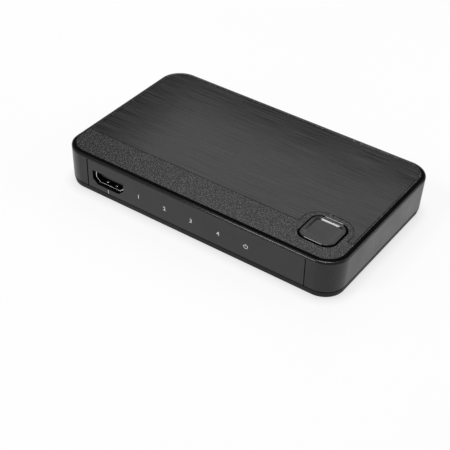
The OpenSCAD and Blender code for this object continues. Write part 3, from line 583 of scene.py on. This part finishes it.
# Lid: one moulding with a sparked front strip, a polished black bevel and a pocket for the inlay.
# It drops into the walls, and screws from below pull its four posts down.
lid_grain, lid_surface, lid_place = new_finish("lid_grain", (0.02, 0.02, 0.02), 0.25)
pits = add_noise(lid_grain, lid_place, 1 / (0.5 * MM), 0.5)
colour_by(lid_grain, pits, lid_surface, (0.001, 0.001, 0.001), (0.06, 0.06, 0.06), 0.51, 0.63)
roughness_by(lid_grain, pits, lid_surface, 0.26, 0.16)
bump_by(lid_grain, pits, lid_surface, 0.045 * MM)
lid_surface.inputs["Specular IOR Level"].default_value = 0.38
bevel_gloss, bevel_surface, bevel_place = new_finish("bevel_gloss", (0.003, 0.003, 0.003), 0.1)
bevel_surface.inputs["Specular IOR Level"].default_value = 0.14
bevel_haze = add_noise(bevel_gloss, bevel_place, 90, 3.0)
colour_by(bevel_gloss, bevel_haze, bevel_surface, (0.0015, 0.0015, 0.0015), (0.003, 0.003, 0.003))
roughness_by(bevel_gloss, bevel_haze, bevel_surface, 0.07, 0.13)
edge_gloss, edge_surface, edge_place = new_finish("edge_gloss", (0.01, 0.01, 0.01), 0.1)
edge_haze = add_noise(edge_gloss, edge_place, 150, 3.0)
colour_by(edge_gloss, edge_haze, edge_surface, (0.009, 0.009, 0.009), (0.013, 0.013, 0.013))
roughness_by(edge_gloss, edge_haze, edge_surface, 0.08, 0.13)
lid_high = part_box("top_cover")[1]
key_low, key_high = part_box("select_button")
inlay_low, inlay_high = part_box("top_inlay")
plate_top = lid_high.z
lid_bevel = 2 * MM
inlay_gap = 0.15 * MM
inlay_thickness = inlay_high.z - inlay_low.z
key_centre = ((key_low.x + key_high.x) / 2, (key_low.y + key_high.y) / 2)
key_size = 14.9 * MM
key_radius = 3.9 * MM
key_gap = 0.75 * MM
surround = 2.5 * MM
surround_radius = 8 * MM
lid_thickness = 1.8 * MM
lid_under = plate_top - lid_thickness
inlay_margin = 0.6 * MM


def key_loop(grow):
    """The key's outline, grown all round."""
    return rounded_loop(key_size + 2 * grow, key_size + 2 * grow, key_radius + grow, centre=key_centre)


def arc(centre, radius, start, end, steps=16):
    """Points along a bend, from one angle to another in degrees."""
    angles = [math.radians(start + (end - start) * k / steps) for k in range(steps + 1)]
    return [(centre[0] + radius * math.cos(a), centre[1] + radius * math.sin(a)) for a in angles]


def inlay_loop(grow):
    """The inlay's outline: straight at the front, rounded at the back, and stepped round the key."""
    left, right = inlay_low.x - grow, inlay_high.x + grow
    front, back = inlay_low.y - grow, inlay_high.y + grow
    radius = corner_radius - lid_bevel - inlay_margin + grow
    half = key_size / 2 + key_gap + surround - grow
    bend = surround_radius - grow
    x, y = key_centre
    loop = [(left, front), (x - half, front)]
    loop += arc((x - half + bend, y + half - bend), bend, 180, 90)
    loop += arc((x + half - bend, y + half - bend), bend, 90, 0)
    loop += [(x + half, front), (right, front)]
    loop += arc((right - radius, back - radius), radius, 0, 90)
    loop += arc((left + radius, back - radius), radius, 90, 180)
    return loop


lid = bmesh.new()
hole_edge = 0.2 * MM
add_plate(lid, [inset_loop(lid_bevel), inlay_loop(inlay_gap), key_loop(key_gap + hole_edge)],
          plate_top - inlay_thickness, plate_top)
deck_margin = 0.2 * MM
deck_slit = 0.02 * MM
deck_inset = lid_bevel + deck_margin
deck_top = plate_top - inlay_thickness - deck_slit
add_plate(lid, [inset_loop(deck_inset), key_loop(key_gap + 2 * hole_edge)], lid_under, deck_top, finish=2)
rim_foot = wall_high.z
rim_profile = [(wall_inset + 0.1 * MM, wall_head - 0.1 * MM),
               (wall_inset + 0.1 * MM, rim_foot),
               (0.15 * MM, rim_foot),
               (0.05 * MM, rim_foot + 0.05 * MM),
               (0.05 * MM, rim_foot + 0.16 * MM),
               (0.27 * MM, rim_foot + 0.38 * MM),
               (0.6 * MM, rim_foot + 0.53 * MM),
               (lid_bevel, plate_top),
               (deck_inset, plate_top - inlay_thickness)]
rim_rings = [add_ring(lid, inset_loop(inset), z) for inset, z in rim_profile]
for lower, upper, finish in zip(rim_rings, rim_rings[1:] + rim_rings[:1], (2, 2, 2, 2, 3, 2, 1, 1, 2)):
    bridge(lid, lower, upper, finish=finish)
collar_top = plate_top - 0.01 * MM
collar_profile = [(0, lid_under), (0, plate_top - hole_edge), (hole_edge, collar_top),
                  (2 * hole_edge, collar_top), (4 * hole_edge, lid_under)]
collar_rings = [add_ring(lid, key_loop(key_gap + out), z) for out, z in collar_profile]
for step in range(len(collar_rings)):
    bridge(lid, collar_rings[step - 1], collar_rings[step], finish=3 if step == 2 else 0)
lid_piece = make_piece("lid", lid, [lid_grain, bevel_gloss, case_grain, edge_gloss], 0.04 * MM)
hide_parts("top_cover")
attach(lid_piece, "case")

# Inlay: a thin dark anodised sheet, brushed from side to side and glued into the lid's pocket.
# Long fine scratches catch the light across their length.
brushed, brushed_surface, brushed_place = new_finish("brushed_anodised", (0.02, 0.02, 0.021), 0.14)
brushed_surface.inputs["Specular IOR Level"].default_value = 0.3
stretch = brushed.node_tree.nodes.new("ShaderNodeMapping")
stretch.inputs["Scale"].default_value = (40, 2400, 1)
brushed.node_tree.links.new(brushed_place, stretch.inputs["Vector"])
scratches = add_noise(brushed, stretch.outputs["Vector"], 1.0, 3.0)
colour_by(brushed, scratches, brushed_surface, (0.006, 0.006, 0.006), (0.031, 0.031, 0.032), 0.36, 0.64)
roughness_by(brushed, scratches, brushed_surface, 0.1, 0.17)
bump_by(brushed, scratches, brushed_surface, 0.003 * MM)
inlay_slack = 0.1 * MM
inlay = bmesh.new()
add_plate(inlay, [inlay_loop(-inlay_slack)], inlay_low.z, inlay_high.z)
inlay_piece = make_piece("brushed_inlay", inlay, [brushed], 0.03 * MM)
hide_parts("top_inlay")
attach(inlay_piece, "case")

# Select key: a hollow rounded square in the lid's plastic, with a sparked face and a smooth bevel.
# It slides in the lid's collar, four tabs keep it in, and its stem presses the switch on the board.
key_grain = sparked_plastic("key_grain", (0.006, 0.006, 0.006), (0.014, 0.014, 0.014),
                            0.5 * MM, 0.006 * MM, 0.26)
crown_profile = [(2.61, 0), (2.49, 0.008), (1.41, 0.15), (1.29, 0.163), (0.32, 0.215), (0.22, 0.23),
                 (0.05, 0.4), (0, 0.48)]
key_wall = 1.4 * MM
tab_height = 1 * MM
tab_half = 3 * MM
stem_radius = 2.1 * MM
key_top = key_high.z
stem_end = key_low.z
tab_drop = 3.5 * MM
tab_z = lid_under - tab_drop
roof_thickness = 2.1 * MM
roof_z = key_top - roof_thickness
stem_root = 0.2 * MM
key = bmesh.new()
crown = [add_ring(key, key_loop(-inset * MM), key_top - drop * MM) for inset, drop in crown_profile]
foot = add_ring(key, key_loop(0), tab_z)
foot_inside = add_ring(key, key_loop(-key_wall), tab_z)
ceiling = add_ring(key, key_loop(-key_wall), roof_z)
bridge(key, foot, crown[-1])
for upper, lower, finish in zip(crown, crown[1:], (1, 1, 1, 0, 1, 1, 1)):
    bridge(key, lower, upper, finish=finish)
key.faces.new(crown[0])
bridge(key, foot_inside, foot)
bridge(key, ceiling, foot_inside)
key.faces.new(ceiling)
stem_low = add_ring(key, circle_loop(key_centre, stem_radius), stem_end)
stem_high = add_ring(key, circle_loop(key_centre, stem_radius), roof_z + stem_root)
bridge(key, stem_low, stem_high)
key.faces.new(stem_low)
key.faces.new(stem_high)
tab_reach = (key_high.x - key_low.x) / 2
for quarter in range(4):
    tab = bmesh.ops.create_cube(key, size=1)["verts"]
    reach = tab_reach - key_size / 2 + key_wall / 2
    bmesh.ops.scale(key, vec=(reach, 2 * tab_half, tab_height), verts=tab)
    bmesh.ops.translate(key, vec=(tab_reach - reach / 2, 0, 0), verts=tab)
    bmesh.ops.rotate(key, cent=(0, 0, 0), matrix=Matrix.Rotation(quarter * math.pi / 2, 3, "Z"), verts=tab)
    bmesh.ops.translate(key, vec=(*key_centre, tab_z + tab_height / 2), verts=tab)
key_piece = make_piece("select_key", key, [key_grain, edge_gloss], 0.04 * MM)
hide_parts("select_button")
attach(key_piece, "button")

# Panel signs: the input numbers and a power sign, screen-printed in white on the front panel.
# Each stands a hair above the panel, and a second 1 marks the front socket as the first input.
ink, ink_surface, ink_place = new_finish("sign_ink", (0.75, 0.75, 0.75), 0.5)
ink_tone = add_noise(ink, ink_place, 3000, 2.0)
colour_by(ink, ink_tone, ink_surface, (0.68, 0.68, 0.68), (0.8, 0.8, 0.8))
roughness_by(ink, ink_tone, ink_surface, 0.45, 0.6)
ink_thickness = 0.02 * MM
sign_height = 1.9 * MM
socket_low, socket_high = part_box("video_in_1_shell")
board_top = socket_low.z
sign_rise = 2.8 * MM
sign_z = board_top + sign_rise
socket_sign_drop = 2 * MM
socket_sign_share = 0.9
cap_share = 0.7
sign_pitch = 12.85 * MM


def on_panel(x, z):
    """Place of a sign on the panel's leaning face."""
    face = Vector((x, panel_face(z) - ink_thickness / 2, z))
    return Matrix.Translation(face) @ Matrix.Rotation(panel_lean, 4, "X") @ UPRIGHT


def print_number(name, digit, x, z, height):
    """One printed number on the panel's face."""
    drawing = bpy.data.curves.new(name, "FONT")
    drawing.body = digit
    drawing.align_x = "CENTER"
    drawing.align_y = "CENTER"
    drawing.size = height / cap_share
    drawing.extrude = ink_thickness / 2
    drawing.offset = 0.025 * height
    drawn = bpy.data.objects.new(name, drawing)
    bpy.context.collection.objects.link(drawn)
    bpy.context.view_layer.update()
    mesh = bpy.data.meshes.new_from_object(drawn.evaluated_get(bpy.context.evaluated_depsgraph_get()))
    bpy.data.objects.remove(drawn)
    bpy.data.curves.remove(drawing)
    mesh.transform(on_panel(x, z))
    mesh.materials.clear()
    mesh.materials.append(ink)
    sign = bpy.data.objects.new(name, mesh)
    bpy.context.collection.objects.link(sign)
    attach(sign, "case")


for count in range(4):
    print_number("sign_%d" % (count + 1), str(count + 1), (count - 2) * sign_pitch, sign_z, sign_height)
print_number("socket_sign", "1", (socket_low.x + socket_high.x) / 2, board_top - socket_sign_drop,
             sign_height * socket_sign_share)

power = bmesh.new()
sign_radius = sign_height * 0.46
sign_line = sign_height * 0.09
ring_start, ring_end, ring_steps = 125, 415, 32
inside = arc((0, 0), sign_radius - sign_line, ring_start, ring_end, ring_steps)
outside = arc((0, 0), sign_radius + sign_line, ring_end, ring_start, ring_steps)
bar_low, bar_high = 0.15 * sign_height, 0.62 * sign_height
bar = [(-sign_line, bar_low), (sign_line, bar_low), (sign_line, bar_high), (-sign_line, bar_high)]
add_plate(power, [inside + outside, bar], -ink_thickness / 2, ink_thickness / 2)
bmesh.ops.transform(power, matrix=on_panel(2 * sign_pitch, sign_z), verts=power.verts)
power_mesh = bpy.data.meshes.new("power_sign")
power.to_mesh(power_mesh)
power.free()
power_mesh.materials.append(ink)
power_sign = bpy.data.objects.new("power_sign", power_mesh)
bpy.context.collection.objects.link(power_sign)
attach(power_sign, "case")

# Floor: a seamless sweep of matte white board under the box, wide enough to fill the picture.
# Its colour makes the background, part of it glows for seen and mirrored rays, and it keeps the shadow.
floor_finish, floor_surface, floor_place = new_finish("white_sweep", (0.92, 0.92, 0.92), 0.7)
floor_tone = add_noise(floor_finish, floor_place, 6, 2.0)
colour_by(floor_finish, floor_tone, floor_surface, (0.91, 0.91, 0.91), (0.94, 0.94, 0.94))
floor_surface.inputs["Specular IOR Level"].default_value = 0.1
floor_nodes = floor_finish.node_tree.nodes
floor_links = floor_finish.node_tree.links
floor_path = floor_nodes.new("ShaderNodeLightPath")
floor_glow = floor_nodes.new("ShaderNodeEmission")
floor_seen = floor_path.outputs["Is Camera Ray"]
for ray in ("Is Glossy Ray", "Is Transmission Ray"):
    either = floor_nodes.new("ShaderNodeMath")
    either.operation = "MAXIMUM"
    floor_links.new(floor_seen, either.inputs[0])
    floor_links.new(floor_path.outputs[ray], either.inputs[1])
    floor_seen = either.outputs["Value"]
floor_share = floor_nodes.new("ShaderNodeMath")
floor_share.operation = "MULTIPLY"
floor_share.inputs[1].default_value = 0.72
floor_links.new(floor_seen, floor_share.inputs[0])
floor_mix = floor_nodes.new("ShaderNodeMixShader")
floor_links.new(floor_share.outputs["Value"], floor_mix.inputs["Fac"])
floor_links.new(floor_surface.outputs["BSDF"], floor_mix.inputs[1])
floor_links.new(floor_glow.outputs["Emission"], floor_mix.inputs[2])
floor_links.new(floor_mix.outputs["Shader"], floor_nodes["Material Output"].inputs["Surface"])
floor = bmesh.new()
floor_half = 4
floor_z = -0.02 * MM
floor_corners = [floor.verts.new((sx * floor_half, sy * floor_half, floor_z))
                 for sx, sy in ((-1, -1), (1, -1), (1, 1), (-1, 1))]
floor.faces.new(floor_corners)
floor_mesh = bpy.data.meshes.new("floor")
floor.to_mesh(floor_mesh)
floor.free()
floor_mesh.materials.append(floor_finish)
floor_piece = bpy.data.objects.new("floor", floor_mesh)
bpy.context.collection.objects.link(floor_piece)

# Light: a pale studio, brighter near the horizon than overhead, with five soft boxes hung in it.
# The back one mirrors in the lid, the right one in the side wall, and the small one in the key's bevel.
world = bpy.data.worlds.new("studio")
bpy.context.scene.world = world
world.use_nodes = True
sky = world.node_tree
direction = sky.nodes.new("ShaderNodeTexCoord")
split = sky.nodes.new("ShaderNodeSeparateXYZ")
sky.links.new(direction.outputs["Generated"], split.inputs["Vector"])
height = sky.nodes.new("ShaderNodeValToRGB")
height.color_ramp.elements[0].position = 0.05
height.color_ramp.elements[0].color = (0.65, 0.65, 0.65, 1)
height.color_ramp.elements[1].position = 0.3
height.color_ramp.elements[1].color = (0.12, 0.12, 0.12, 1)
sky.links.new(split.outputs["Z"], height.inputs["Fac"])
sky.links.new(height.outputs["Color"], sky.nodes["Background"].inputs["Color"])


def soft_box(name, place, aim, width, tall, watts):
    """Flat lamp of a given size, turned to face a point."""
    lamp_data = bpy.data.lights.new(name, "AREA")
    lamp_data.shape = "RECTANGLE"
    lamp_data.size = width
    lamp_data.size_y = tall
    lamp_data.energy = watts
    box_lamp = bpy.data.objects.new(name, lamp_data)
    box_lamp.location = place
    box_lamp.rotation_euler = (Vector(aim) - Vector(place)).to_track_quat("-Z", "Y").to_euler()
    bpy.context.collection.objects.link(box_lamp)


soft_box("top_box", (0, 0, 1.2), (0, 0, 0), 0.4, 0.4, 9.4)
soft_box("back_box", (-0.46, 0.794, 0.9), (-0.46, 0.794, 0), 0.81, 0.748, 2.22)
soft_box("right_box", (0.9, 0.66, 0.5), (0, 0, 0), 0.8, 0.6, 2)
soft_box("left_box", (-0.37, -0.77, 0.8), (0, 0, 0), 0.3, 0.3, 2.8)
soft_box("rear_strip_light", (-0.3035, 0.8244, 0.4268), (0.05, -0.02, 0.02), 0.08, 0.08, 0.19)

# Camera: above the front right corner, as far off and as long in the lens as a catalogue photograph.
# Its axes were fitted to the corners of the lid and to the foot of the box.
camera_data = bpy.data.cameras.new("camera")
camera_data.sensor_width = 36
camera_data.lens = 91.472
camera_data.clip_start = 0.01
camera = bpy.data.objects.new("camera", camera_data)
right = Vector((0.82077447, 0.57012054, 0.03594217))
upward = Vector((-0.37665437, 0.49279987, 0.78439772))
back = Vector((0.42948895, -0.65735140, 0.61921594))
stand = Vector((0.20205193, -0.32337419, 0.28326923))
camera.matrix_world = Matrix(((right.x, upward.x, back.x, stand.x),
                              (right.y, upward.y, back.y, stand.y),
                              (right.z, upward.z, back.z, stand.z),
                              (0, 0, 0, 1)))
bpy.context.collection.objects.link(camera)
bpy.context.scene.camera = camera
bpy.context.scene.view_settings.view_transform = "Standard"
